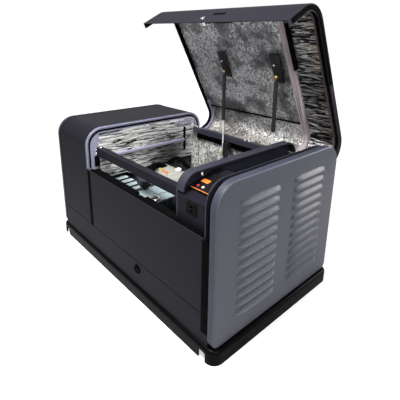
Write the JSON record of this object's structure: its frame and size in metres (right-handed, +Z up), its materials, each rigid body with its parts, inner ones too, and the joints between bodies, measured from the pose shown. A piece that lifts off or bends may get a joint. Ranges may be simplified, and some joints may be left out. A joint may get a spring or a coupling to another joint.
{
  "type": "home standby generator",
  "caption": "Home standby generator in a sheet-steel enclosure with a propped hinged lid, louvred end panels, air-cooled engine, alternator and controls.",
  "frame": {"origin": "on the ground under the middle of the base tray, on its central runner", "axes": "+Z up, -Y the front with the service panel, +X towards the louvred control end"},
  "size_m": [1.2, 0.8023, 1.1618],
  "materials": {
    "charcoal": "satin",
    "grey": "satin",
    "lavender": "satin",
    "black_gloss": "gloss",
    "bed": "satin",
    "rubber": "matt",
    "foil": "bright crinkled foil",
    "chrome": "polished",
    "alloy": "cast",
    "cream": "satin",
    "zinc": "zinc plated",
    "plastic": "satin",
    "white": "gloss",
    "red": "gloss"
  },
  "bodies": {
    "enclosure": {"air_filter_box": "zinc", "alternator": "alloy", "base_tray": "black_gloss", "battery": "plastic", "blower_housing": "cream", "breaker": "plastic", "control_box": "charcoal", "controller": "plastic", "cross_bar": "charcoal", "cylinder_front": "alloy", "cylinder_rear": "alloy", "end_frame": "lavender", "end_seal": "rubber", "engine_block": "alloy", "engine_mount_1": "rubber", "engine_mount_2": "rubber", "engine_mount_3": "rubber", "engine_mount_4": "rubber", "exhaust_pipe": "zinc", "fixed_hinge_leaf_left": "chrome", "fixed_hinge_leaf_right": "chrome", "front_panel": "charcoal", "front_panel_seal": "rubber", "front_rail": "bed", "front_sill": "charcoal", "gas_regulator": "alloy", "hinge_rail": "charcoal", "hood_edge_frame": "lavender", "hood_liner": "foil", "hood_shell": "charcoal", "intake_hose": "rubber", "left_end_panel": "grey", "muffler": "zinc", "oil_filter": "bed", "partition": "charcoal", "rear_liner": "foil", "rear_panel": "charcoal", "rear_rail": "bed", "ribbed_shield": "alloy", "right_end_panel": "grey", "side_seal": "rubber", "starter_motor": "bed", "strut_foot_left": "bed", "strut_foot_right": "bed"},
    "lid": {"lid_shell": "charcoal", "lid_liner": "foil", "lid_rib": "lavender", "strut_bracket_left": "bed", "strut_bracket_right": "bed", "lid_hinge_leaf_left": "chrome", "lid_hinge_leaf_right": "chrome"},
    "lock": {"lock_cylinder": "chrome"},
    "left_strut_tube": {"strut_tube_left": "bed"},
    "left_strut_rod": {"strut_rod_left": "chrome"},
    "right_strut_tube": {"strut_tube_right": "bed"},
    "right_strut_rod": {"strut_rod_right": "chrome"},
    "start_push": {"start_button": "white"},
    "stop_push": {"stop_button": "red"},
    "breaker_switch": {"breaker_lever": "plastic"},
    "fan": {"cooling_fan": "plastic"}
  },
  "joints": [
    {"name": "lid_hinge", "type": "hinge", "parent": "enclosure", "child": "lid", "pos_m": [0, 0.3565, 0.505], "axis": [1, 0, 0], "range_deg": [0, 62]},
    {"name": "left_strut_swing", "type": "hinge", "parent": "lid", "child": "left_strut_tube", "pos_m": [0, 0.26804, 0.88438], "axis": [1, 0, 0], "range_deg": [-0.5, 2.95]},
    {"name": "left_strut_stroke", "type": "slide", "parent": "left_strut_tube", "child": "left_strut_rod", "axis": [0, 0.0168, -0.9999], "range_m": [-0.09051, 0.0005]},
    {"name": "right_strut_swing", "type": "hinge", "parent": "lid", "child": "right_strut_tube", "pos_m": [0.31, 0.26804, 0.88438], "axis": [1, 0, 0], "range_deg": [-0.5, 2.95]},
    {"name": "right_strut_stroke", "type": "slide", "parent": "right_strut_tube", "child": "right_strut_rod", "axis": [0, 0.0168, -0.9999], "range_m": [-0.09051, 0.0005]},
    {"name": "lock_turn", "type": "hinge", "parent": "lid", "child": "lock", "pos_m": [0.13, 0.00098, 1.11613], "axis": [0, 0.4695, -0.8829], "range_deg": [0, 90]},
    {"name": "start_press", "type": "slide", "parent": "enclosure", "child": "start_push", "axis": [0, 0.2228, -0.9749], "range_m": [0, 0.002], "stiffness_N_per_m": 600},
    {"name": "stop_press", "type": "slide", "parent": "enclosure", "child": "stop_push", "axis": [0, 0.2228, -0.9749], "range_m": [0, 0.002], "stiffness_N_per_m": 600},
    {"name": "breaker_toggle", "type": "hinge", "parent": "enclosure", "child": "breaker_switch", "pos_m": [0.445, -0.319, 0.5125], "axis": [1, 0, 0], "range_deg": [-25, 25]},
    {"name": "fan_spin", "type": "hinge", "parent": "enclosure", "child": "fan", "pos_m": [0.0773, 0, 0.26], "axis": [1, 0, 0], "continuous": true}
  ],
  "couplings": [
    {"joint": "left_strut_swing", "follows": "lid_hinge", "ratio": 0.039475},
    {"joint": "left_strut_stroke", "follows": "lid_hinge", "m_per_rad": -0.083183},
    {"joint": "right_strut_swing", "follows": "lid_hinge", "ratio": 0.039475},
    {"joint": "right_strut_stroke", "follows": "lid_hinge", "m_per_rad": -0.083183}
  ]
}
